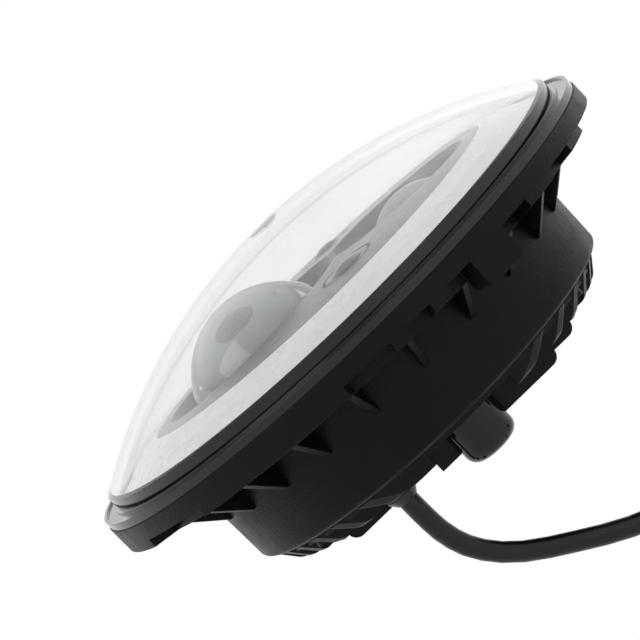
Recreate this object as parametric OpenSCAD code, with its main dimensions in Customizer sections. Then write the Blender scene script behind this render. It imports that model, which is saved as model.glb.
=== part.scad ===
// Round LED headlight for a motorbike: domed clear lens, halo ring, two projector lenses,
// moulded housing with a rim, lugs and gussets, finned heat sink, vent cap and a short lead.
// Millimetres. The lamp looks along -Y, +Z is up, and the origin is on the lamp's axis
// in the plane of the rim's front face.

/* [Rim] */
// outer radius of the rim
rim_r = 89; // [80:0.5:95]
// depth of the rim's side where it runs straight to its back
rim_side = 7.8; // [6:0.1:10]
// depth of the rim's outer band, behind which the pockets lie
rim_band = 5.1; // [3:0.1:6]
// depth of the pockets in the rim's side
rim_pocket = 8.5; // [5:0.1:8.8]
// depth of the step beside the lower pockets
rim_step = 4; // [2:0.1:6]
// depth of the rim's rear face at the gussets
rim_back = 10.1; // [8:0.1:12]
// thickness of the moulded walls
wall_t = 2.6; // [2:0.1:4]

/* [Housing wall] */
// gap between the bezel's skirt and the housing wall
skirt_gap = 0.7; // [0.3:0.1:2]
// draft of the wall over its length
wall_draft = 0.6; // [0:0.1:2]
// depth of the housing from the rim's front to its rear edge
housing_depth = 35.7; // [30:0.1:45]
// radius of the rear edge's rounding
edge_round = 1.5; // [0.6:0.1:3]
// width of the rear ledge that carries the heat sink
rear_ledge = 7.4; // [6:0.1:9]
// thickness of the rear ledge
ledge_t = 3; // [2:0.1:5]
// number of gussets on each side of the top one
gusset_count = 11; // [4:1:16]
// angle from one gusset to the next
gusset_step = 15.8; // [10:0.1:22]
// thickness of a gusset
gusset_t = 1.8; // [1:0.1:4]
// width of a gusset under the rim
gusset_w = 12; // [6:0.5:14]
// depth where the gussets end on the wall
gusset_end = 19.7; // [14:0.1:26]

/* [Lugs] */
// width of a locating lug
lug_w = 13.6; // [6:0.1:20]
// thickness of a locating lug
lug_t = 8.5; // [4:0.1:10]
// distance of the lower lugs inside the rim's side
lug_inset = 1; // [0:0.1:8]
// distance of the top lug inside the rim's side
top_lug_inset = 5; // [0:0.1:8]
// depth of the two lower lugs
lug_depth = 14.1; // [11:0.1:18]
// depth of the top lug
top_lug_depth = 11.5; // [10.5:0.1:16]
// bearing of the two lower lugs below the horizontal
lug_angle = 25.1; // [15:0.1:40]
// rounding of the lugs' rear corners
lug_round = 2.2; // [1:0.1:3]

/* [Outer lens] */
// distance of the lens flange inside the rim's side
flange_inset = 0.4; // [0:0.1:2]
// width of the lens flange around the dome
lens_flange_w = 5.2; // [3:0.1:8]
// thickness of the lens flange
lens_flange_t = 2.5; // [1.5:0.1:4]
// height of the dome's foot above the rim's front face
dome_foot_h = 6.4; // [4:0.1:9]
// outer radius of the dome's curve
dome_curve_r = 155; // [120:1:220]
// thickness of the lens
lens_t = 2.8; // [2:0.1:4]

/* [Halo] */
// gap between the halo guide and the lens
halo_gap = 1.3; // [0.8:0.1:3]
// width of the halo guide
halo_w = 17.8; // [12:0.1:22]
// height of the halo guide's inner edge
halo_inner_h = 8.9; // [7:0.1:12]
// height of the halo guide's outer edge
halo_outer_h = 3.9; // [3:0.1:6]
// thickness of the halo guide
halo_t = 2; // [1.2:0.1:3]
// number of LEDs under the halo
halo_led_count = 36; // [12:1:60]

/* [Bezel] */
// height of the bezel at its edge
bezel_edge_h = 8.5; // [7:0.1:11]
// height of the bezel at its middle
bezel_mid_h = 10.9; // [9:0.1:13]
// thickness of the bezel
bezel_t = 2; // [1.4:0.1:3]
// gap between the bezel and the halo guide
bezel_gap = 0.3; // [0.1:0.1:1]
// distance from a projector lens to the edge of its bowl
bowl_flare = 7.1; // [4:0.1:9]
// width of the bezel outside the bowls
bowl_margin = 4; // [2:0.1:8]
// width of a bowl's floor around its lens
bowl_floor_w = 2.4; // [1:0.1:4]

/* [Upper projector] */
// radius of the large lens as a share of the bezel's radius
upper_share = 0.42; // [0.34:0.01:0.44]
// depth of the large lens's flat back
upper_back = 3.3; // [1:0.1:6]
// depth of the floor of the bowl around the large lens
upper_floor = -0.9; // [-5:0.1:1]

/* [Lower projector] */
// radius of the small lens as a share of the bezel's radius
lower_share = 0.295; // [0.24:0.005:0.32]
// depth of the small lens's flat back
lower_back = 7.1; // [3:0.1:9]
// depth of the floor of the bowl around the small lens
lower_floor = -1.3; // [-5:0.1:1]

/* [Side lenses] */
// radius of a side lens
eye_r = 5.2; // [3:0.1:7]
// distance of the side lenses from the middle as a share of the bezel's radius
eye_share = 0.62; // [0.55:0.01:0.7]
// distance of the side lenses below the axis
eye_z = 8.5; // [4:0.5:12]

/* [Inner frame] */
// depth of the carrier plate's front face
carrier_y = 22; // [18:0.5:25]
// thickness of the carrier plate
carrier_t = 2; // [1:0.1:3]
// bearing of the screws above and below the horizontal
screw_bearing = 55; // [50:1:60]
// distance of the screws inside the wall's rear edge
screw_inset = 6.9; // [6:0.1:9]
// radius of a screw's shank
screw_r = 1.5; // [1:0.1:2]
// radius of a screw's head
screw_head_r = 2.7; // [2:0.1:3]
// radius of a screw boss
boss_r = 4; // [3:0.1:5]

/* [Heat sink] */
// thickness of the gasket under the heat sink
gasket_t = 0.4; // [0.3:0.1:1.5]
// width of the gasket
gasket_w = 1.4; // [1:0.1:2]
// distance of the fins' feet inside the wall's rear edge
sink_inset = 2.1; // [0.8:0.1:4]
// thickness of the heat sink's plate
sink_t = 1.6; // [1:0.1:4]
// number of fins
fin_count = 15; // [7:4:23]
// thickness of a fin
fin_t = 2.4; // [1.5:0.1:4]
// height of the short fins above the plate
short_fin_h = 4.3; // [3:0.1:6]
// height of the tall fins above the plate
tall_fin_h = 8.3; // [6:0.1:14]
// rounding of the fins' corners
fin_round = 3; // [1:0.1:3]
// lean of the fins' ends, in degrees from the lamp's axis
fin_lean = 37; // [20:1:50]
// distance of the tall part of the middle fin inside the fins' feet
tall_fin_inset = 14.3; // [6:0.1:25]
// radius of the pedestal behind the large lens
upper_pedestal_r = 12; // [8:0.5:14]
// radius of the pedestal behind the small lens
lower_pedestal_r = 10; // [8:0.5:12]

/* [Vent] */
// radius of the vent cap
vent_cap_r = 8.2; // [6:0.1:10]
// height of the vent cap above the heat sink's plate
vent_cap_h = 13; // [10:0.1:18]
// rounding of the vent cap's end
vent_round = 3.5; // [1:0.1:5]
// distance of the vent cap's axis inside the heat sink's edge
vent_inset = 13.2; // [11:0.1:20]
// height of the vent cap on the lamp
vent_z = -3.9; // [-8:0.1:2]
// radius of the vent's nipple
vent_nipple_r = 5; // [3:0.1:6]
// gap between the vent cap and the fins
vent_gap = 0.4; // [0.3:0.1:3]
// half the length over which the outermost fin is left off beside the vent cap
vent_pocket = 15; // [12:0.1:20]

/* [Lead] */
// radius of the lead
cord_r = 3; // [2.5:0.1:4]
// distance of the lead's exit inside the heat sink's edge
gland_inset = 17.3; // [14:0.1:22]
// height of the lead's exit on the lamp
gland_z = 23; // [18:0.1:28]
// height of the cable gland above the heat sink's plate
gland_h = 7.3; // [6:0.1:14]
// radius of the gland's flange inside the housing
gland_flange_r = 5.6; // [5:0.1:7]

/* [Plug] */
// width and depth of the plug body
plug_w = 24; // [20:1:30]
// height of the plug body
plug_h = 17; // [12:1:24]
// length of the boot on the plug
boot_h = 11; // [6:1:20]
// width of a plug blade
blade_w = 7.8; // [6:0.1:9]
// thickness of a plug blade
blade_t = 0.9; // [0.6:0.1:1.2]
// length of a plug blade outside the body
blade_h = 13; // [8:1:18]
// depth of the slots that hold the blades
blade_slot = 8; // [4:1:12]

/* [Hidden] */
$fn = 96;

// clearance between pieces that fit into each other
fit = 0.2;
// thickness of the circuit boards
board_t = 1.6;
// height of an LED package
led_h = 0.9;
// how far a cut reaches past a face, and how far joined shapes sink into each other
over = 1;
weld = 0.01;

// radii of the front, each a step inside the one before it
lens_flange_r = rim_r - flange_inset;
dome_foot_r = lens_flange_r - lens_flange_w;
lens_inner_r = dome_foot_r - lens_t;
halo_outer_r = lens_inner_r - halo_gap;
halo_inner_r = halo_outer_r - halo_w;
bezel_r = halo_inner_r - bezel_gap;

// radii and depths of the housing and its hollow
hollow_r = bezel_r + skirt_gap;
wall_r = hollow_r + wall_t;
wall_end_r = wall_r - wall_draft;
rear_opening_r = wall_end_r - rear_ledge;
gusset_r = wall_r + gusset_w;
floor_t = wall_t + 0.4;
ring_floor_y = rim_back - floor_t;
lug_root_y = ring_floor_y + floor_t / 2;
channel_gap = 0.4;
ledge_y = housing_depth - ledge_t;
root_round = 1.4;
gusset_sink = 0.6;
gusset_tip = 0.3;
wall_gap = 0.05;
lug_sink = 0.5;

// pockets and steps of the rim's side, each [start, end] in degrees from the top,
// the same on both sides; the steps run on into the deeper pockets beside them
rim_pockets = [[25.6, 44.6], [81, 91.5], [95.1, 100.5], [104.7, 126.5], [138, 148.5], [159.4, 180]];
rim_steps = [[130.4, 139], [147.5, 160.4]];
rim_pad_r = rim_r - 0.05;
band_end_y = rim_band + 0.1;
step_y = rim_band - 0.1;
rim_pocket_r = rim_r - rim_pocket;
rim_step_r = rim_r - rim_step;

// groove for the lens seal in the rim's front face
seal_r = dome_foot_r;
seal_w = 2.2;
seal_h = 1.5;

// dome of the outer lens: its centre lies on the axis behind the lamp
dome_c = sqrt(pow(dome_curve_r, 2) - pow(dome_foot_r, 2)) - dome_foot_h;
lens_groove = 0.5;
lens_groove_margin = 1;

// halo tray: its two walls carry the guide's lips
tray_t = 1.2;
tray_inset = 1;
tray_inner_r = halo_inner_r + tray_inset;
tray_outer_r = halo_outer_r - tray_inset;
tray_mid_r = (tray_inner_r + tray_outer_r) / 2;
channel_r = tray_outer_r + channel_gap;
inner_lip_w = 1.4;
outer_lip_w = 0.6;
inner_lip_h = halo_inner_h - halo_t - inner_lip_w;
outer_lip_h = halo_outer_h - halo_t - outer_lip_w;
tray_floor_y = ring_floor_y - tray_t;
halo_board_y = tray_floor_y - board_t;
halo_edge = 0.5;
halo_fall = halo_inner_h - halo_outer_h;
// points of the guide's curve: share of its width, share of its fall
halo_curve = [[0.28, 0.18], [0.56, 0.42], [0.78, 0.76]];
halo_led_size = [2.8, 3.5];
halo_wire_r = 2.5;
halo_plug_r = 1.5;

// bezel: a shallow dome over a deep skirt that stands on the carrier plate
bezel_rise = bezel_mid_h - bezel_edge_h;
function bezel_h(r) = bezel_mid_h - bezel_rise * pow(r / bezel_r, 2);

// projector stacks: lens flange, retaining ring and reflector cup on one axis
upper_lens_r = upper_share * bezel_r;
lower_lens_r = lower_share * bezel_r;
upper_bowl_r = upper_lens_r + bowl_flare;
lower_bowl_r = lower_lens_r + bowl_flare;
upper_z = bezel_r - upper_bowl_r - bowl_margin;
lower_z = bezel_r - lower_bowl_r - bowl_margin;
upper_at = [0, upper_z];
lower_at = [0, -lower_z];
flange_w = 1.5;
flange_t = 2.4;
upper_flange_r = upper_lens_r + flange_w;
lower_flange_r = lower_lens_r + flange_w;
cup_wall = 1.8;
cup_lip = 1;
upper_cup_r = upper_flange_r + fit + cup_wall;
lower_cup_r = lower_flange_r + fit + cup_wall;
lens_hole_gap = 0.5;
bowl_floor_h = 2;
bowl_wall = 1;
upper_bowl_hole_r = lens_width(upper_lens_r, upper_back - upper_floor - bezel_t) + lens_hole_gap;
lower_bowl_hole_r = lens_width(lower_lens_r, lower_back - lower_floor - bezel_t) + lens_hole_gap;
chip_hole_r = 7;
chip_w = 5;
shield_y = 14;
shield_t = 0.8;
shield_h = 11;
shield_margin = 6;
upper_board_w = 20;
lower_board_w = 16;

// radius of a ball lens at a distance in front of its flat back
function lens_width(r, distance) = sqrt(pow(r, 2) - pow(distance, 2));

// LED boards stand on the heat sink's pedestals behind the carrier plate
led_board_y = carrier_y + carrier_t;
pedestal_y = led_board_y + board_t;
carrier_gap = 1;
screw_circle_r = wall_end_r - screw_inset;
screw_bearings = [for (a = [0, 180], s = [-1, 1]) a + s * screw_bearing];
screw_places = [for (b = screw_bearings) [screw_circle_r * cos(b), screw_circle_r * sin(b)]];
screw_head_h = 2;
screw_grip = 5;
screw_relief = 0.5;
web_y = carrier_y + carrier_t + screw_relief;

// heat sink: the fins reach past the plate and lie over the housing's rear edge
sink_y = housing_depth + gasket_t;
sink_r = wall_end_r - sink_inset;
plate_r = screw_circle_r + screw_head_r + screw_relief;
fin_root_y = sink_y + sink_t;
short_fin_y = fin_root_y + short_fin_h;
tall_fin_y = fin_root_y + tall_fin_h;
fin_edge = 9.3;
fin_pitch = 2 * (sink_r - fin_edge) / (fin_count - 1);
gasket_r = sink_r - fit;
pad_h = 0.4;

// side lens and the socket that the bezel has for it
eye_x = eye_share * bezel_r;
eye_places = [[-eye_x, -eye_z], [eye_x, -eye_z]];
eye_flange_w = 1.4;
eye_flange_r = eye_r + eye_flange_w;
eye_flange_t = 1.5;
eye_socket = 3;
eye_socket_t = 1.4;
eye_socket_h = 4;
eye_front = bezel_h(norm([eye_x, eye_z]));
eye_seat_y = -eye_front + eye_socket;
eye_board_t = 1;
eye_groove = [2.4, 3.4, 0.6];

// driver board stands on the heat sink's plate between the pedestals
driver_y = sink_y - board_t;
driver_size = [44, 15];
driver_x = 21;
driver_z = -4;
capacitor_r = 3;
capacitor_h = 6;
capacitor_x = -14;
coil_w = 10;
coil_h = 4;
coil_x = -1;
chip_size = 8;
chip_h = 2;
chip_x = 13;

// vent cap over its nipple, beside the fins
vent_at = [vent_inset - sink_r, vent_z];
vent_cap_y = fin_root_y + vent_cap_h;
vent_hole_r = 2;
membrane_t = 0.4;
membrane_inset = 0.4;

// cable gland: flange inside, shank through the plate and a taper that ends on the lead
gland_at = [gland_inset - sink_r, gland_z];
gland_end_y = fin_root_y + gland_h;
gland_flange_t = 1.4;
gland_shank_w = 1.2;
gland_nut_t = 1.6;
gland_collar_w = 2.1;
gland_tip_w = 0.2;
gland_tip_h = 2.5;
gland_gap = 0.4;

// lead: points of its route, each [distance behind the gland, fall below the gland]
cord_path = [
    [0, 0], [4, 0], [8, 0.1], [12, 0.4], [16, 1.2], [20, 2.6], [24, 4.9], [28, 8.1],
    [32, 12.4], [36, 18], [40, 24.4], [44, 31], [47.5, 37.6], [50.6, 45], [53, 53],
    [54.8, 62], [55.8, 72], [56, 83], [56, 95], [56, 108], [56, 121], [56, 135], [56, 150]
];
cord_route = [for (p = cord_path) [gland_end_y + p[0], gland_z - p[1]]];
cord_sides = 10;
cord_end = cord_route[len(cord_route) - 1];
boot_w = 2.4;
boot_tip_w = 0.6;

// plug blades: one across and two along, and the plug's cut corners
blade_across = -7;
blade_along = [8.5, 2];
plug_corner = 4;

// Shapes on axes that run along Y: depths are absolute, places are [x, z]

module along_y(at, y) {
    translate([at[0], y, at[1]]) rotate([-90, 0, 0]) children();
}

module rod(r, y0, y1, at = [0, 0]) {
    along_y(at, y0) cylinder(r = r, h = y1 - y0);
}

module taper(r0, r1, y0, y1, at = [0, 0]) {
    along_y(at, y0) cylinder(r1 = r0, r2 = r1, h = y1 - y0);
}

module ring(r, hole_r, y0, y1, at = [0, 0]) {
    difference() {
        rod(r, y0, y1, at);
        rod(hole_r, y0 - over, y1 + over, at);
    }
}

module ball(r, y, at = [0, 0]) {
    translate([at[0], y, at[1]]) rotate([-90, 0, 0]) sphere(r = r);
}

// a profile of [radius, depth] points turned round an axis
module turned(profile, at = [0, 0]) {
    translate([at[0], 0, at[1]]) rotate([-90, 0, 0]) rotate_extrude() polygon(profile);
}

// points of a rounded corner about [r, y], from one angle to the flat end at 90 degrees
function corner(r, y, round, from = 0) =
    [for (i = [0 : 6]) let (a = from + (90 - from) * i / 6) [r + round * cos(a), y + round * sin(a)]];

module at_bearing(angle) {
    rotate([0, -angle, 0]) children();
}

// part of a ring between two angles from the top, on both sides of the lamp, or across
// the bottom where it reaches that far
module arcs(span, r0, r1, y0, y1) {
    bottom = span[1] == 180;
    sweep = bottom ? 360 - 2 * span[0] : span[1] - span[0];
    for (start = bottom ? [span[0] - 90] : [span[0] - 90, -90 - span[1]])
        rotate([-90, 0, 0]) rotate([0, 0, start])
            rotate_extrude(angle = sweep) translate([r0, y0]) square([r1 - r0, y1 - y0]);
}

// Front of the lamp

module outer_lens() {
    color("white", 0.4) difference() {
        union() {
            rod(lens_flange_r, -lens_flange_t, 0);
            rod(dome_foot_r, -dome_foot_h, 0);
            intersection() {
                ball(dome_curve_r, dome_c);
                rod(dome_foot_r, -dome_curve_r, -dome_foot_h + weld);
            }
        }
        intersection() {
            ball(dome_curve_r - lens_t, dome_c);
            rod(lens_inner_r, -dome_curve_r, over);
        }
        ring(lens_flange_r - lens_groove_margin, dome_foot_r + lens_groove_margin,
            -lens_flange_t - over, -lens_flange_t + lens_groove);
    }
}

module lens_seal() {
    color("silver") ring(seal_r + seal_w, seal_r, 0, seal_h);
}

module halo_light_guide() {
    face = [for (c = halo_curve) [halo_inner_r + halo_w * c[0], halo_fall * c[1] - halo_inner_h]];
    color("white") turned(concat(
        [
            [halo_inner_r, -inner_lip_h],
            [halo_inner_r, halo_edge - halo_inner_h],
            [halo_inner_r + halo_edge, -halo_inner_h]
        ],
        face,
        [
            [halo_outer_r - halo_edge, -halo_outer_h],
            [halo_outer_r, halo_edge - halo_outer_h],
            [halo_outer_r, -outer_lip_h],
            [tray_outer_r - tray_t, -outer_lip_h],
            [tray_outer_r - tray_t - halo_edge, halo_t - halo_outer_h - halo_edge]
        ],
        [for (i = [len(face) - 1 : -1 : 0]) [face[i][0], face[i][1] + halo_t]],
        [
            [tray_inner_r + tray_t + halo_edge, halo_t + halo_edge - halo_inner_h],
            [tray_inner_r + tray_t, -inner_lip_h]
        ]
    ));
}

module halo_tray() {
    color("gainsboro") difference() {
        union() {
            ring(tray_outer_r, tray_inner_r, tray_floor_y, ring_floor_y);
            ring(tray_outer_r, tray_outer_r - tray_t, -outer_lip_h, ring_floor_y);
            ring(tray_inner_r + tray_t, tray_inner_r, -inner_lip_h, ring_floor_y);
        }
        rod(halo_wire_r, tray_floor_y - over, ring_floor_y + over, [-tray_mid_r, 0]);
    }
}

module halo_led_board() {
    color("green") difference() {
        ring(tray_outer_r - tray_t - fit, tray_inner_r + tray_t + fit, halo_board_y, tray_floor_y);
        rod(halo_plug_r, halo_board_y - over, tray_floor_y + over, [-tray_mid_r, 0]);
    }
}

module halo_leds() {
    w = halo_led_size[0];
    l = halo_led_size[1];
    color("gold") for (i = [0 : halo_led_count - 1])
        at_bearing((i + 0.5) * 360 / halo_led_count)
            translate([tray_mid_r - w / 2, halo_board_y - led_h, -l / 2]) cube([w, led_h, l]);
}

// everything behind the bezel's shallow dome, which lies this far behind its front
module behind_dome(drop, r) {
    turned(concat(
        [for (i = [0 : 8]) [r * i / 8, drop - bezel_h(r * i / 8)]],
        [[r, carrier_y], [0, carrier_y]]
    ));
}

// outside and inside of the bowl that flares forward from a projector lens
module bowl_shell(bowl_r, hole_r, floor_y, at) {
    taper(bowl_r + bezel_t, hole_r + bezel_t + bowl_wall, -bezel_mid_h, floor_y + bezel_t, at);
}

module bowl_hollow(bowl_r, hole_r, floor_y, at) {
    floor_r = hole_r + bowl_floor_w;
    taper(bowl_r + bowl_wall, floor_r, -bezel_mid_h - over, floor_y - bowl_floor_h, at);
    rod(floor_r, floor_y - bowl_floor_h - weld, floor_y, at);
    rod(hole_r, floor_y - over, floor_y + bezel_t + over, at);
}

module inner_bezel() {
    color("dimgray") difference() {
        union() {
            // shallow dome and skirt
            difference() {
                behind_dome(0, bezel_r);
                difference() {
                    rod(bezel_r - bezel_t, -bezel_mid_h, carrier_y + over);
                    difference() {
                        rod(bezel_r, -bezel_mid_h - over, -bezel_edge_h + bezel_t + over);
                        behind_dome(bezel_t, bezel_r);
                    }
                }
            }
            intersection() {
                union() {
                    bowl_shell(upper_bowl_r, upper_bowl_hole_r, upper_floor, upper_at);
                    bowl_shell(lower_bowl_r, lower_bowl_hole_r, lower_floor, lower_at);
                    for (at = eye_places)
                        rod(eye_flange_r + eye_socket_t, -bezel_mid_h, eye_seat_y + eye_socket_h, at);
                }
                behind_dome(0, bezel_r);
            }
        }
        bowl_hollow(upper_bowl_r, upper_bowl_hole_r, upper_floor, upper_at);
        bowl_hollow(lower_bowl_r, lower_bowl_hole_r, lower_floor, lower_at);
        for (at = screw_places)
            rod(screw_head_r + fit, carrier_y - screw_head_h - screw_relief, carrier_y + over, at);
        for (at = eye_places) {
            rod(eye_r + fit, -bezel_mid_h - over, eye_seat_y + over, at);
            rod(eye_flange_r + fit, eye_seat_y, eye_seat_y + eye_socket_h + over, at);
            ring(eye_r + eye_groove[1], eye_r + eye_groove[0], -bezel_mid_h - over,
                eye_groove[2] - eye_front, at);
        }
    }
}

module side_lenses() {
    color("lightgray") for (at = eye_places) {
        rod(eye_r, -eye_front, eye_seat_y, at);
        rod(eye_flange_r, eye_seat_y, eye_seat_y + eye_flange_t, at);
        intersection() {
            ball(eye_r * 2, eye_r * sqrt(3) - eye_front, at);
            rod(eye_r, -eye_front - eye_r, weld - eye_front, at);
        }
    }
}

module side_led_boards() {
    back = eye_seat_y + eye_flange_t;
    color("green") for (at = eye_places) rod(eye_flange_r, back, back + eye_board_t, at);
}

// Projectors

module projector_lens(r, flange_r, back, at) {
    intersection() {
        ball(r, back, at);
        rod(r + over, back - r - over, back, at);
    }
    rod(flange_r, back, back + flange_t, at);
}

module reflector_cup(r, flange_r, cup_r, back, at) {
    difference() {
        rod(cup_r, back, carrier_y, at);
        rod(flange_r + fit, back - over, back + flange_t, at);
        taper(r - cup_lip, chip_hole_r - fit, back + flange_t - weld, carrier_y + weld, at);
    }
}

module led_board(size, at) {
    translate([at[0] - size / 2, led_board_y, at[1] - size / 2]) cube([size, board_t, size]);
}

module upper_projector_lens() {
    color("lightblue") projector_lens(upper_lens_r, upper_flange_r, upper_back, upper_at);
}

module upper_lens_ring() {
    color("silver") ring(upper_cup_r, upper_lens_r + fit, upper_floor + bezel_t, upper_back, upper_at);
}

// the cut-off shield stands in a slot across the cup's cavity
module upper_reflector_cup() {
    color("silver") difference() {
        reflector_cup(upper_lens_r, upper_flange_r, upper_cup_r, upper_back, upper_at);
        cutoff_plate(fit);
    }
}

module cutoff_plate(gap) {
    half = upper_lens_r - shield_margin + gap;
    translate([-half, shield_y - gap, upper_z - shield_h])
        cube([2 * half, shield_t + 2 * gap, shield_h + gap]);
}

module cutoff_shield() {
    color("gray") intersection() {
        cutoff_plate(0);
        rod(upper_cup_r - over, shield_y - over, shield_y + shield_t + over, upper_at);
    }
}

module upper_led_board() {
    color("green") led_board(upper_board_w, upper_at);
}

module lower_projector_lens() {
    color("lightblue") projector_lens(lower_lens_r, lower_flange_r, lower_back, lower_at);
}

module lower_lens_ring() {
    color("silver") ring(lower_cup_r, lower_lens_r + fit, lower_floor + bezel_t, lower_back, lower_at);
}

module lower_reflector_cup() {
    color("silver")
        reflector_cup(lower_lens_r, lower_flange_r, lower_cup_r, lower_back, lower_at);
}

module lower_led_board() {
    color("green") led_board(lower_board_w, lower_at);
}

module led_chips() {
    color("gold") for (at = [upper_at, lower_at])
        translate([at[0] - chip_w / 2, led_board_y - led_h, at[1] - chip_w / 2])
            cube([chip_w, led_h, chip_w]);
}

// Carrier plate between the projectors and the heat sink

module carrier_plate() {
    color("lightgray") difference() {
        rod(hollow_r - carrier_gap, carrier_y, carrier_y + carrier_t);
        for (at = [upper_at, lower_at])
            rod(chip_hole_r, carrier_y - over, carrier_y + carrier_t + over, at);
        for (at = screw_places)
            rod(screw_r + fit, carrier_y - over, carrier_y + carrier_t + over, at);
    }
}

module carrier_screws() {
    color("gray") for (at = screw_places) {
        rod(screw_head_r, carrier_y - screw_head_h, carrier_y, at);
        rod(screw_r, carrier_y - weld, carrier_y + carrier_t + screw_grip, at);
    }
}

// Housing: rim with its pockets, lugs and gussets, and the round wall behind it.
// It is moulded as one piece, and its two halves meet on the outside of the wall.

module lug(r0, r1, y0, y1) {
    c = lug_round;
    translate([r0, 0, 0]) rotate([90, 0, 90]) linear_extrude(height = r1 - r0) {
        translate([y0, -lug_w / 2]) square([y1 - c - y0, lug_w]);
        translate([y0, c - lug_w / 2]) square([y1 - y0, lug_w - 2 * c]);
        for (s = [-1, 1])
            translate([y1 - c, s * (lug_w / 2 - c)]) circle(r = c);
    }
}

// gussets from the rim's rear face along the drafted wall
module gussets() {
    foot_y = rim_back + root_round * 0.8;
    end_r = wall_r - wall_draft * (gusset_end - foot_y) / (housing_depth - edge_round - foot_y);
    for (i = [-gusset_count : gusset_count])
        at_bearing(90 + i * gusset_step)
            linear_extrude(height = gusset_t, center = true)
                polygon([
                    [gusset_r, rim_back - gusset_sink],
                    [wall_r + gusset_tip, gusset_end], [end_r + wall_gap, gusset_end],
                    [wall_r + wall_gap, foot_y], [wall_r + root_round, rim_back - gusset_sink]
                ]);
}

// outside of the wall, as a solid from the rim's floor to the rear edge
module wall_solid() {
    turned(concat(
        [[0, ring_floor_y], [wall_r, ring_floor_y], [wall_r, rim_back + root_round]],
        corner(wall_end_r - edge_round, housing_depth - edge_round, edge_round),
        [[0, housing_depth]]
    ));
}

module rim_body() {
    turned([
        [rim_r, 0], [rim_r, band_end_y], [rim_pad_r, band_end_y], [rim_pad_r, rim_side],
        [gusset_r, rim_back],
        [wall_r + root_round * 0.4, rim_back + root_round * 0.3],
        [wall_r, rim_back + root_round], [wall_r, ring_floor_y],
        [channel_r, ring_floor_y], [channel_r, 0]
    ]);
}

module rim_ring() {
    lug_r = rim_r - lug_inset;
    top_lug_r = rim_r - top_lug_inset;
    color([0.15, 0.15, 0.16]) difference() {
        union() {
            difference() {
                rim_body();
                for (span = rim_pockets)
                    arcs(span, rim_pocket_r, rim_r + over, rim_band, rim_back + over);
                for (span = rim_steps)
                    arcs(span, rim_step_r, rim_r + over, step_y, rim_back + over);
            }
            gussets();
            at_bearing(90) lug(top_lug_r - lug_t, top_lug_r, lug_root_y, top_lug_depth);
            for (a = [-lug_angle, 180 + lug_angle])
                at_bearing(a) lug(lug_r - lug_t, lug_r, rim_band - lug_sink, lug_depth);
        }
        ring(seal_r + seal_w, seal_r, -over, seal_h);
    }
}

module housing() {
    color([0.15, 0.15, 0.16]) difference() {
        union() {
            difference() {
                wall_solid();
                taper(hollow_r, hollow_r - wall_draft, ring_floor_y - weld, ledge_y);
                rod(rear_opening_r, ledge_y - over, housing_depth + over);
            }
            // screw bosses, each joined to the wall by a web
            intersection() {
                union() {
                    for (at = screw_places) rod(boss_r, carrier_y + carrier_t, housing_depth, at);
                    for (b = screw_bearings)
                        at_bearing(b) translate([screw_circle_r, web_y, -boss_r / 2])
                            cube([wall_r, ledge_y + over - web_y, boss_r]);
                }
                rod(hollow_r, carrier_y, housing_depth + over);
            }
        }
        for (at = screw_places)
            rod(screw_r, carrier_y, housing_depth + over, at);
    }
}

// Heat sink: plate, pedestals and straight fins with slanted ends, cast as one piece

module heat_sink_gasket() {
    color("black") difference() {
        union() {
            ring(gasket_r, gasket_r - gasket_w, housing_depth, sink_y);
            for (at = screw_places) rod(boss_r, housing_depth, sink_y, at);
        }
        for (at = screw_places)
            rod(screw_r + fit, housing_depth - over, sink_y + over, at);
    }
}

function fin_x(i) = (i - (fin_count - 1) / 2) * fin_pitch;

// every fin up to the short height, with leaning ends and rounded corners
module short_fins() {
    top = short_fin_y - fin_round;
    end_r = sink_r - (top - sink_y) * tan(fin_lean) - fin_round / cos(fin_lean);
    intersection() {
        for (i = [0 : fin_count - 1])
            translate([fin_x(i) - fin_t / 2, sink_y, -sink_r])
                cube([fin_t, short_fin_h + sink_t, 2 * sink_r]);
        turned(concat(
            [[0, sink_y], [sink_r, sink_y]],
            corner(end_r, top, fin_round, fin_lean),
            [[0, short_fin_y]]
        ));
    }
}

// every second fin goes on to the tall height over its middle
module tall_fins() {
    c = fin_round;
    for (i = [1 : 2 : fin_count - 2]) {
        half = (sink_r - tall_fin_inset) * sqrt(1 - pow(fin_x(i) / sink_r, 2));
        translate([fin_x(i) - fin_t / 2, 0, 0]) rotate([90, 0, 90]) linear_extrude(height = fin_t) {
            translate([fin_root_y, -half]) square([tall_fin_h - c, 2 * half]);
            translate([fin_root_y, c - half]) square([tall_fin_h, 2 * (half - c)]);
            for (s = [-1, 1])
                translate([tall_fin_y - c, s * (half - c)]) circle(r = c);
        }
    }
}

module fins() {
    vent_end_z = vent_z + vent_pocket;
    difference() {
        union() {
            short_fins();
            tall_fins();
        }
        rod(vent_cap_r + vent_gap, fin_root_y, tall_fin_y + over, vent_at);
        rod(gland_flange_r + gland_gap, fin_root_y, tall_fin_y + over, gland_at);
        for (at = screw_places)
            rod(screw_head_r + fit, fin_root_y, tall_fin_y + over, at);
        // the outermost fin is left off beside the vent cap, and the next one is short
        // beside the lead
        translate([-sink_r - over, sink_y - over, vent_z - vent_pocket])
            cube([fin_x(0) + fin_t + sink_r, tall_fin_y, 2 * vent_pocket]);
        translate([-sink_r - over, short_fin_y, vent_end_z])
            cube([fin_x(1) + fin_t + sink_r, tall_fin_h, sink_r]);
    }
}

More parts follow.
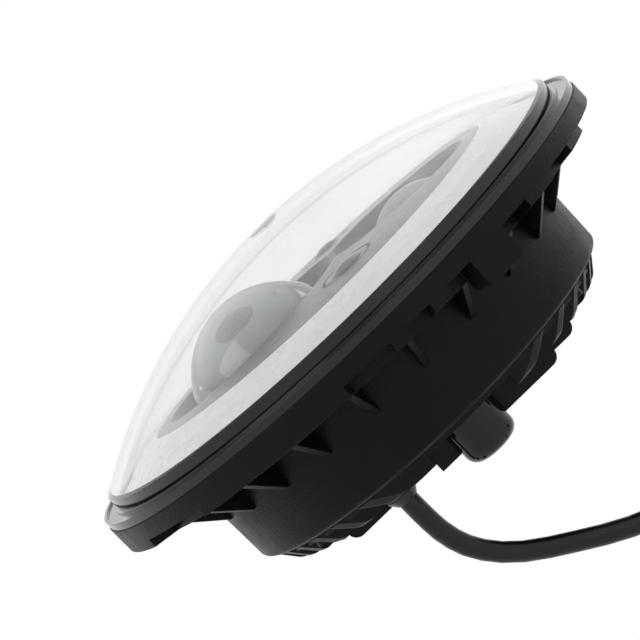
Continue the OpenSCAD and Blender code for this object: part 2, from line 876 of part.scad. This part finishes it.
module heat_sink() {
    color([0.2, 0.2, 0.22]) difference() {
        union() {
            rod(plate_r, sink_y, fin_root_y);
            fins();
            rod(upper_pedestal_r, pedestal_y, fin_root_y, upper_at);
            rod(lower_pedestal_r, pedestal_y, fin_root_y, lower_at);
            rod(vent_cap_r, sink_y, fin_root_y + pad_h, vent_at);
            rod(vent_nipple_r, sink_y, short_fin_y, vent_at);
            rod(gland_flange_r, sink_y, fin_root_y + pad_h, gland_at);
        }
        rod(vent_hole_r, sink_y - over, short_fin_y + over, vent_at);
        rod(cord_r + gland_shank_w + fit, sink_y - over, fin_root_y + over, gland_at);
        for (at = screw_places)
            rod(screw_r + fit, sink_y - over, fin_root_y + over, at);
    }
}

module heat_sink_screws() {
    color("gray") for (at = screw_places) {
        rod(screw_head_r, fin_root_y, fin_root_y + screw_head_h, at);
        rod(screw_r, housing_depth - screw_grip, fin_root_y + weld, at);
    }
}

// Electronics behind the carrier plate

module driver_board() {
    color("green") translate([driver_x - driver_size[0] / 2, driver_y, driver_z - driver_size[1] / 2])
        cube([driver_size[0], board_t, driver_size[1]]);
}

module component(x, w, h) {
    translate([driver_x + x - w / 2, driver_y - h, driver_z - w / 2]) cube([w, h, w]);
}

module driver_components() {
    color("black") {
        rod(capacitor_r, driver_y - capacitor_h, driver_y, [driver_x + capacitor_x, driver_z]);
        component(coil_x, coil_w, coil_h);
        component(chip_x, chip_size, chip_h);
    }
}

// Vent

module vent_cap() {
    color([0.1, 0.1, 0.1]) difference() {
        turned(concat(
            [[0, fin_root_y + pad_h], [vent_cap_r, fin_root_y + pad_h]],
            corner(vent_cap_r - vent_round, vent_cap_y - vent_round, vent_round),
            [[0, vent_cap_y]]
        ), vent_at);
        rod(vent_nipple_r + fit, fin_root_y, short_fin_y + membrane_t, vent_at);
    }
}

module vent_membrane() {
    color("white") rod(vent_nipple_r - membrane_inset, short_fin_y, short_fin_y + membrane_t, vent_at);
}

// Lead with its gland and plug

module cable_gland() {
    nut_end = fin_root_y + pad_h + gland_nut_t;
    collar_r = cord_r + gland_collar_w;
    color([0.12, 0.12, 0.12]) {
        rod(gland_flange_r, sink_y - gland_flange_t, sink_y, gland_at);
        rod(cord_r + gland_shank_w, sink_y - weld, nut_end, gland_at);
        rod(collar_r, nut_end, gland_end_y - gland_tip_h, gland_at);
        taper(collar_r, cord_r + gland_tip_w, gland_end_y - gland_tip_h, gland_end_y, gland_at);
    }
}

module gland_nut() {
    color("gray") ring(gland_flange_r, cord_r + gland_shank_w + fit,
        fin_root_y + pad_h, fin_root_y + pad_h + gland_nut_t, gland_at);
}

function unit(v) = v / norm(v);
function route_heading(i) =
    unit(cord_route[min(i + 1, len(cord_route) - 1)] - cord_route[max(i - 1, 0)]);
function end_heading(i) =
    i == 0 ? [1, 0] : i == len(cord_route) - 1 ? [0, -1] : route_heading(i);
function ring_point(i, k) = let (
        a = k * 360 / cord_sides,
        p = cord_route[i],
        h = end_heading(i)
    ) [
        gland_at[0] + cord_r * cos(a),
        p[0] - cord_r * sin(a) * h[1],
        p[1] + cord_r * sin(a) * h[0]
    ];

module cord() {
    rings = len(cord_route);
    points = [for (i = [0 : rings - 1], k = [0 : cord_sides - 1]) ring_point(i, k)];
    sides = [for (i = [0 : rings - 2], k = [0 : cord_sides - 1])
        let (n = (k + 1) % cord_sides)
        [i * cord_sides + k, i * cord_sides + n, (i + 1) * cord_sides + n, (i + 1) * cord_sides + k]];
    first = [for (k = [cord_sides - 1 : -1 : 0]) k];
    last = [for (k = [0 : cord_sides - 1]) (rings - 1) * cord_sides + k];
    color([0.1, 0.1, 0.1]) polyhedron(points, concat([first], sides, [last]));
}

// pieces on the lead's end hang from its last point
module under_cord() {
    translate([gland_at[0], cord_end[0], cord_end[1]]) children();
}

module plug_boot() {
    color([0.12, 0.12, 0.12]) under_cord()
        translate([0, 0, -boot_h]) cylinder(r1 = cord_r + boot_w, r2 = cord_r + boot_tip_w, h = boot_h);
}

module plug_body() {
    color([0.15, 0.15, 0.15]) under_cord() difference() {
        translate([-plug_w / 2, -plug_w / 2, -boot_h - plug_h]) cube([plug_w, plug_w, plug_h]);
        for (sx = [-1, 1], sy = [-1, 1])
            translate([sx * plug_w / 2, sy * plug_w / 2, -boot_h - plug_h / 2])
                rotate([0, 0, 45]) cube([plug_corner, plug_corner, plug_h + 2 * over], center = true);
        blades(0, blade_slot);
    }
}

// the three blades, from a height below the plug's face to one above it
module blades(below, above) {
    translate([0, 0, -boot_h - plug_h - below]) {
        translate([-blade_w / 2, blade_across - blade_t / 2, 0]) cube([blade_w, blade_t, above + below]);
        for (sx = [-1, 1])
            translate([sx * blade_along[0] - blade_t / 2, blade_along[1] - blade_w / 2, 0])
                cube([blade_t, blade_w, above + below]);
    }
}

module plug_blades() {
    color("silver") under_cord() blades(blade_h, blade_slot);
}

outer_lens();
lens_seal();
halo_light_guide();
halo_tray();
halo_led_board();
halo_leds();
inner_bezel();
upper_projector_lens();
upper_lens_ring();
upper_reflector_cup();
cutoff_shield();
upper_led_board();
lower_projector_lens();
lower_lens_ring();
lower_reflector_cup();
lower_led_board();
led_chips();
side_lenses();
side_led_boards();
carrier_plate();
carrier_screws();
rim_ring();
housing();
heat_sink_gasket();
heat_sink();
heat_sink_screws();
driver_board();
driver_components();
vent_cap();
vent_membrane();
cable_gland();
gland_nut();
cord();
plug_boot();
plug_body();
plug_blades();
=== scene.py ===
"""Looks of a round LED headlight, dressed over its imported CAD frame.

The lamp shines along -Y, +Z is up and the origin lies on the lamp's axis in the plane of the
rim's front face. A name that ends in _MM or _mm is in millimetres, and other lengths are in metres.
"""
import math

import bmesh
import bpy
from mathutils import Matrix, Quaternion, Vector


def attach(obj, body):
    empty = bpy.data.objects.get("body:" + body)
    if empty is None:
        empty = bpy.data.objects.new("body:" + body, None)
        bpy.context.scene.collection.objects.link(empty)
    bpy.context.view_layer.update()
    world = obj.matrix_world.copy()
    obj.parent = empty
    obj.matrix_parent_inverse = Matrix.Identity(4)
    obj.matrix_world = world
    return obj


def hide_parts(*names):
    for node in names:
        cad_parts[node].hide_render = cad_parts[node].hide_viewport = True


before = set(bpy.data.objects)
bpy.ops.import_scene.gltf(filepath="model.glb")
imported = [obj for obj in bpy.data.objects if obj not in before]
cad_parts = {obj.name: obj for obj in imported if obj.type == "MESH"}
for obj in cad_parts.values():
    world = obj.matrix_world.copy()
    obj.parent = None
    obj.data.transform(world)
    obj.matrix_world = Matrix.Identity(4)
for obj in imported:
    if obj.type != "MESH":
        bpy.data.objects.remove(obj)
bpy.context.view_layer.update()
MM = 0.001


# Objects and meshes

def add_object(name, data):
    """A new object of the scene with the data given."""
    thing = bpy.data.objects.new(name, data)
    bpy.context.scene.collection.objects.link(thing)
    return thing


def finished_mesh(name, shape, material):
    """The mesh of a bmesh, which is freed, in one material."""
    mesh = bpy.data.meshes.new(name)
    shape.to_mesh(mesh)
    shape.free()
    mesh.materials.append(material)
    return mesh


# Camera: beside the lamp, a little in front of its rim, and turned so that the dome
# looks up and to the left

CAMERA_PLACE = (-0.8932, -0.1104, 0.0)
CAMERA_TARGET = (0.0, -0.0005, 0.0069)
CAMERA_ROLL_DEG = -134.13
CAMERA_LENS_MM = 182.0
CAMERA_SENSOR_MM = 36.0
CAMERA_NEAR = 0.05
CAMERA_FAR = 60.0

camera = add_object("camera", bpy.data.cameras.new("camera"))
sight = Vector(CAMERA_TARGET) - Vector(CAMERA_PLACE)
roll = Quaternion((0, 0, 1), math.radians(CAMERA_ROLL_DEG))
camera.rotation_mode = "QUATERNION"
camera.rotation_quaternion = sight.to_track_quat("-Z", "Y") @ roll
camera.location = CAMERA_PLACE
camera.data.lens = CAMERA_LENS_MM
camera.data.sensor_width = CAMERA_SENSOR_MM
camera.data.clip_start = CAMERA_NEAR
camera.data.clip_end = CAMERA_FAR
bpy.context.scene.camera = camera


# Nodes and colours of the materials

def srgb(hex_colour):
    """A shader colour from an sRGB hex value."""
    parts = [int(hex_colour[i : i + 2], 16) / 255 for i in (1, 3, 5)]
    linear = [p / 12.92 if p <= 0.04045 else ((p + 0.055) / 1.055) ** 2.4 for p in parts]
    return (*linear, 1.0)


def add_node(tree, kind, links=None, **settings):
    """One node of a material: links feed its inputs, and settings are sockets or properties."""
    node = tree.nodes.new("ShaderNode" + kind)
    for name, value in settings.items():
        socket = name.replace("_", " ").title().replace("Ior", "IOR")
        if socket in node.inputs:
            node.inputs[socket].default_value = value
        else:
            setattr(node, name, value)
    for socket, source in (links or {}).items():
        tree.links.new(source, node.inputs[socket])
    return node


def new_material(name, shader_of):
    """A material that shows the shader which shader_of makes in its node tree."""
    material = bpy.data.materials.new(name)
    material.use_nodes = True
    tree = material.node_tree
    tree.nodes.clear()
    add_node(tree, "OutputMaterial", {"Surface": shader_of(tree)})
    return material


# part of a noise's range that holds nearly all of its values
NOISE_LOW = 0.3
NOISE_HIGH = 0.7


def plain_shader(tree, colour, rough, metal=0.0, specular=0.5, mottle_mm=6.0, spread=0.06,
                 bump_mm=0.0, edge_mm=0.0, grain_mm=1.0, coat=0.0):
    """Opaque shader with a faint uneven sheen, and a fine grain and softened edges where asked."""
    place = add_node(tree, "TexCoord").outputs["Object"]
    mottle = add_node(tree, "TexNoise", {"Vector": place}, scale=1 / (mottle_mm * MM), detail=3.0)
    sheen = add_node(
        tree, "MapRange", {"Value": mottle.outputs["Fac"]},
        from_min=NOISE_LOW, from_max=NOISE_HIGH, to_min=rough - spread, to_max=rough + spread,
    )
    normal = {}
    if edge_mm:
        soft_edge = add_node(tree, "Bevel", samples=4, radius=edge_mm * MM)
        normal = {"Normal": soft_edge.outputs["Normal"]}
    if bump_mm:
        grain = add_node(
            tree, "TexNoise", {"Vector": place},
            scale=1 / (grain_mm * MM), detail=2.0, roughness=0.6,
        )
        bump = add_node(
            tree, "Bump", {"Height": grain.outputs["Fac"], **normal},
            strength=1.0, distance=bump_mm * MM,
        )
        normal = {"Normal": bump.outputs["Normal"]}
    shader = add_node(
        tree, "BsdfPrincipled", {"Roughness": sheen.outputs["Result"], **normal},
        base_color=srgb(colour), metallic=metal, coat_weight=coat, coat_roughness=0.08,
    )
    shader.inputs["Specular IOR Level"].default_value = specular
    return shader.outputs["BSDF"]


def clear_shader(tree, colour, ior, specular=0.5):
    """Polished glass or clear plastic."""
    shader = add_node(
        tree, "BsdfPrincipled",
        base_color=srgb(colour), roughness=0.0, ior=ior, transmission_weight=1.0,
    )
    shader.inputs["Specular IOR Level"].default_value = specular
    return shader.outputs["BSDF"]


def plain_surface(name, colour, rough, **detail):
    """Opaque material, from the values of its shader."""
    return new_material(name, lambda tree: plain_shader(tree, colour, rough, **detail))


# Moulded and coated blacks

# nylon moulded with a spark-eroded grain: deep black and dull; the real grain is finer than the
# render shows, so it is drawn 1 mm wide
housing_nylon = plain_surface(
    "grained_black_nylon", "#070708", 0.42, specular=0.13, bump_mm=0.12, grain_mm=1.0, edge_mm=0.5,
)
# die-cast aluminium under a smooth black powder coat: as dark, with a slightly tighter sheen;
# the coat's orange peel is drawn 0.5 mm wide
sink_coating = plain_surface(
    "black_powder_coated_aluminium", "#060607", 0.38, specular=0.15,
    bump_mm=0.01, grain_mm=0.5, edge_mm=0.6,
)
# rubber moulded in a polished tool: nearly black, with small clean reflections
cap_rubber = plain_surface("polished_black_rubber", "#070708", 0.12, specular=0.3, spread=0.02)
# extruded soft vinyl: dark, with a soft highlight along its length; its drag marks are drawn
# 0.6 mm wide
cord_vinyl = plain_surface(
    "black_vinyl_sheath", "#09090a", 0.26, specular=0.3, mottle_mm=3, bump_mm=0.01, grain_mm=0.6,
)
# nylon moulded smooth: dark grey black with softened edges
plug_nylon = plain_surface("black_nylon_plug", "#1a1a1b", 0.42, edge_mm=0.4)
# foam rubber, cut from sheet: flat black that takes no shine
gasket_rubber = plain_surface("black_foam_rubber", "#141414", 0.7)
# epoxy moulded round the driver's parts: a dull dark grey
component_epoxy = plain_surface("black_epoxy", "#1a1a1a", 0.5)

# Behind the dome

# polycarbonate moulded glossy: a dark grey with soft reflections that follow the bowls
bezel_plastic = plain_surface(
    "dark_grey_gloss_polycarbonate", "#1c1e1e", 0.24, spread=0.04, edge_mm=0.4,
)
# acrylic moulded milky: an even white under a thin gloss
halo_acrylic = plain_surface("milky_acrylic", "#e9eaec", 0.30, edge_mm=0.4, coat=0.4)
# white plastic moulded matte: bright behind the halo
white_plastic = plain_surface("white_reflector_plastic", "#dcdcdc", 0.5)
# board printed with white solder mask: an even satin white
board_mask = plain_surface("white_solder_mask", "#d8dad6", 0.45)
# phosphor cast over LED chips: small squares of warm yellow
led_phosphor = plain_surface("led_phosphor", "#d8b450", 0.5)
# silicone cured in the rim's groove: a soft mid grey
seal_silicone = plain_surface("grey_silicone_seal", "#6c6d6f", 0.4)
# film stretched to open its pores: matte white
membrane_film = plain_surface("porous_white_film", "#e4e4e4", 0.7)

# Metals

# turned aluminium, anodised satin: mid grey with broad reflections
ring_metal = plain_surface("satin_anodised_aluminium", "#8c8e90", 0.32, metal=1.0, spread=0.05)
# plastic cup metallised in a vacuum: nearly a clean mirror
reflector_metal = plain_surface("metallised_reflector", "#d6d7d8", 0.08, metal=1.0, spread=0.02)
# stamped steel, blackened: a dark edge behind the large lens
shield_metal = plain_surface("blackened_steel", "#2b2b2c", 0.4, metal=1.0)
# steel screws in black zinc plating: hardly seen between the black fins
black_zinc = plain_surface("black_zinc_plated_steel", "#232324", 0.4, metal=1.0)
# aluminium sheet as rolled: light grey with blurred reflections
plate_metal = plain_surface("mill_finish_aluminium", "#b0b1b2", 0.4, metal=1.0)
# steel screws in clear zinc plating: light grey and a little brighter
screw_metal = plain_surface("zinc_plated_steel", "#a5a6a8", 0.35, metal=1.0)
# stamped brass, tinned: pale metal with soft reflections
blade_tin = plain_surface("tinned_brass_blade", "#c9c7c2", 0.3, metal=1.0)

# Lenses

# optical glass, pressed and polished: clear and faintly cool
lens_glass = new_material("optical_glass", lambda tree: clear_shader(tree, "#eef2f4", 1.52))

# where painted shade turns the outer lens opaque black, in place of the dark seen through its clear
# flange and foot: outside this radius and lower than this on the rim
PAINTED_SHADE_RADIUS_MM = 81.5
PAINTED_SHADE_HEIGHT_MM = 6.3


def lens_shader_with_painted_shade(tree):
    """Clear over the halo, and black under a gloss over the lens's flange and foot: painted shade
    in place of the dark seen through the clear plastic.
    """
    place = add_node(tree, "TexCoord").outputs["Object"]
    across = add_node(tree, "VectorMath", {0: place}, operation="MULTIPLY")
    across.inputs[1].default_value = (1, 0, 1)
    radius = add_node(tree, "VectorMath", {0: across.outputs[0]}, operation="LENGTH")
    wide = add_node(tree, "Math", {0: radius.outputs["Value"]}, operation="GREATER_THAN")
    wide.inputs[1].default_value = PAINTED_SHADE_RADIUS_MM * MM
    depth = add_node(tree, "SeparateXYZ", {"Vector": place})
    low = add_node(tree, "Math", {0: depth.outputs["Y"]}, operation="GREATER_THAN")
    low.inputs[1].default_value = -PAINTED_SHADE_HEIGHT_MM * MM
    # painted shade: 1 on the flange and foot, where the lens is drawn as opaque black
    painted_shade_mask = add_node(tree, "Math", {0: wide.outputs[0], 1: low.outputs[0]}, operation="MULTIPLY")
    clear = clear_shader(tree, "#fbfcfc", 1.58, specular=0.3)
    # painted shade: opaque black under a gloss, drawn in place of the clear plastic
    black = plain_shader(tree, "#070708", 0.10, specular=0.4, spread=0.02, edge_mm=0.5)
    return add_node(tree, "MixShader", {0: painted_shade_mask.outputs[0], 1: clear, 2: black}).outputs[0]


# polycarbonate moulded clear and hard coated: nearly unseen over the halo, and painted deep black
# over its flange and foot as shade, in place of the dark that shows through it
lens_polycarbonate = new_material("clear_polycarbonate", lens_shader_with_painted_shade)


# Finish of each node of the frame, apart from the lead, which a smoother piece replaces

FINISHES = {
    "lens_seal": seal_silicone,
    "halo_light_guide": halo_acrylic,
    "halo_tray": white_plastic,
    "halo_led_board": board_mask,
    "halo_leds": led_phosphor,
    "inner_bezel": bezel_plastic,
    "upper_projector_lens": lens_glass,
    "upper_lens_ring": ring_metal,
    "upper_reflector_cup": reflector_metal,
    "cutoff_shield": shield_metal,
    "upper_led_board": board_mask,
    "lower_projector_lens": lens_glass,
    "lower_lens_ring": ring_metal,
    "lower_reflector_cup": reflector_metal,
    "lower_led_board": board_mask,
    "led_chips": led_phosphor,
    "side_lenses": lens_glass,
    "side_led_boards": board_mask,
    "carrier_plate": plate_metal,
    "carrier_screws": screw_metal,
    "rim_ring": housing_nylon,
    "housing": housing_nylon,
    "heat_sink_gasket": gasket_rubber,
    "heat_sink": sink_coating,
    "heat_sink_screws": black_zinc,
    "driver_board": board_mask,
    "driver_components": component_epoxy,
    "vent_cap": cap_rubber,
    "vent_membrane": membrane_film,
    "cable_gland": cord_vinyl,
    "gland_nut": component_epoxy,
    "plug_boot": cord_vinyl,
    "plug_body": plug_nylon,
    "plug_blades": blade_tin,
    "outer_lens": lens_polycarbonate,
}
for node_name, finish in FINISHES.items():
    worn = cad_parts[node_name].data.materials
    worn.clear()
    worn.append(finish)


# Lead: its route repeats the one that the frame's own lead follows

LEAD_X_MM = -44.5
LEAD_RADIUS_MM = 3.0
# depth and height of the gland's end
LEAD_START_MM = (45.0, 23.0)
# how far each point lies behind the gland's end, and how far below it
LEAD_ROUTE_MM = [
    (0, 0), (4, 0), (8, 0.1), (12, 0.4), (16, 1.2), (20, 2.6), (24, 4.9), (28, 8.1), (32, 12.4),
    (36, 18), (40, 24.4), (44, 31), (47.5, 37.6), (50.6, 45), (53, 53), (54.8, 62), (55.8, 72),
    (56, 83), (56, 95), (56, 108), (56, 121), (56, 135), (56, 150),
]
lead_points = [
    Vector((LEAD_X_MM, LEAD_START_MM[0] + behind, LEAD_START_MM[1] - fall)) * MM
    for behind, fall in LEAD_ROUTE_MM
]

curve = bpy.data.curves.new("lead", "CURVE")
curve.dimensions = "3D"
curve.bevel_depth = LEAD_RADIUS_MM * MM
curve.bevel_resolution = 6
curve.use_fill_caps = True
curve.materials.append(cord_vinyl)
spline = curve.splines.new("POLY")
spline.points.add(len(lead_points) - 1)
for point, place in zip(spline.points, lead_points):
    point.co = (*place, 1)

lead = add_object("lead", curve)
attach(lead, "root")
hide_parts("cord")


# Bead of black rubber between the lens's foot and the halo, which darkens the foot's clear wall

BEAD_RADIUS_MM = 80.4
BEAD_WIDTH_MM = 0.9
BEAD_HEIGHT_MM = 4.7
BEAD_SIDES = 256

tube = bmesh.new()
across_lamp = Matrix.Rotation(math.pi / 2, 4, "X")
on_rim = Matrix.Translation((0, -BEAD_HEIGHT_MM * MM / 2, 0))
bmesh.ops.create_cone(
    tube, cap_ends=False, segments=BEAD_SIDES, radius1=BEAD_RADIUS_MM * MM,
    radius2=BEAD_RADIUS_MM * MM, depth=BEAD_HEIGHT_MM * MM, matrix=on_rim @ across_lamp,
)
bmesh.ops.solidify(tube, geom=tube.faces[:], thickness=BEAD_WIDTH_MM * MM)
bmesh.ops.recalc_face_normals(tube, faces=tube.faces[:])
foot_bead = add_object("foot_bead", finished_mesh("foot_bead", tube, gasket_rubber))
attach(foot_bead, "root")


# Floor and world, which are plain white to the camera, to a shine and through a clear piece

FLOOR_HEIGHT = -0.19
FLOOR_HALF_SIZE = 30.0
# light that lifts the board to white where it is seen
FLOOR_LIFT = 0.5
# strength of the world's light on the object
AMBIENT = 0.55
WHITE = (1, 1, 1, 1)


def sharp_rays(tree):
    """1 for what the camera, a shine or a clear piece sees, and 0 for other rays."""
    path = add_node(tree, "LightPath")
    seen = add_node(
        tree, "Math", {0: path.outputs["Is Camera Ray"], 1: path.outputs["Is Glossy Ray"]},
        operation="MAXIMUM",
    )
    all_seen = add_node(
        tree, "Math", {0: seen.outputs[0], 1: path.outputs["Is Transmission Ray"]},
        operation="MAXIMUM",
    )
    return all_seen.outputs[0]


def floor_shader(tree):
    """Matte white, with its light where it is seen."""
    matte = add_node(tree, "BsdfDiffuse", color=srgb("#f4f4f4"))
    lift = add_node(tree, "Math", {0: sharp_rays(tree)}, operation="MULTIPLY")
    lift.inputs[1].default_value = FLOOR_LIFT
    glow = add_node(tree, "Emission", {"Strength": lift.outputs[0]}, color=WHITE)
    return add_node(tree, "AddShader", {0: matte.outputs[0], 1: glow.outputs[0]}).outputs[0]


sheet = bmesh.new()
bmesh.ops.create_grid(sheet, x_segments=1, y_segments=1, size=FLOOR_HALF_SIZE)
bmesh.ops.translate(sheet, verts=sheet.verts, vec=(0, 0, FLOOR_HEIGHT))
# painted board: matte white that keeps the shadow
floor_board = new_material("white_floor_board", floor_shader)
floor = add_object("floor", finished_mesh("floor", sheet, floor_board))

world = bpy.data.worlds.new("studio")
bpy.context.scene.world = world
world.use_nodes = True
sky_tree = world.node_tree
sky_tree.nodes.clear()
level = add_node(sky_tree, "MapRange", {"Value": sharp_rays(sky_tree)}, to_min=AMBIENT, to_max=1.0)
sky = add_node(sky_tree, "Background", {"Strength": level.outputs["Result"]}, color=WHITE)
add_node(sky_tree, "OutputWorld", {"Surface": sky.outputs[0]})


# Lamps

def softbox(name, direction, distance, size, watts):
    """A square area lamp that faces the headlight from a direction."""
    light = bpy.data.lights.new(name, "AREA")
    light.shape = "SQUARE"
    light.size = size
    light.energy = watts
    lamp = add_object(name, light)
    lamp.location = Vector(direction).normalized() * distance
    lamp.rotation_euler = (-lamp.location).to_track_quat("-Z", "Y").to_euler()


softbox("key_softbox", (-0.72, 0.12, -0.69), distance=1.3, size=0.6, watts=16)
softbox("front_softbox", (-0.35, -0.8, 0.5), distance=1.6, size=1.0, watts=10)

bpy.context.scene.view_settings.view_transform = "Standard"
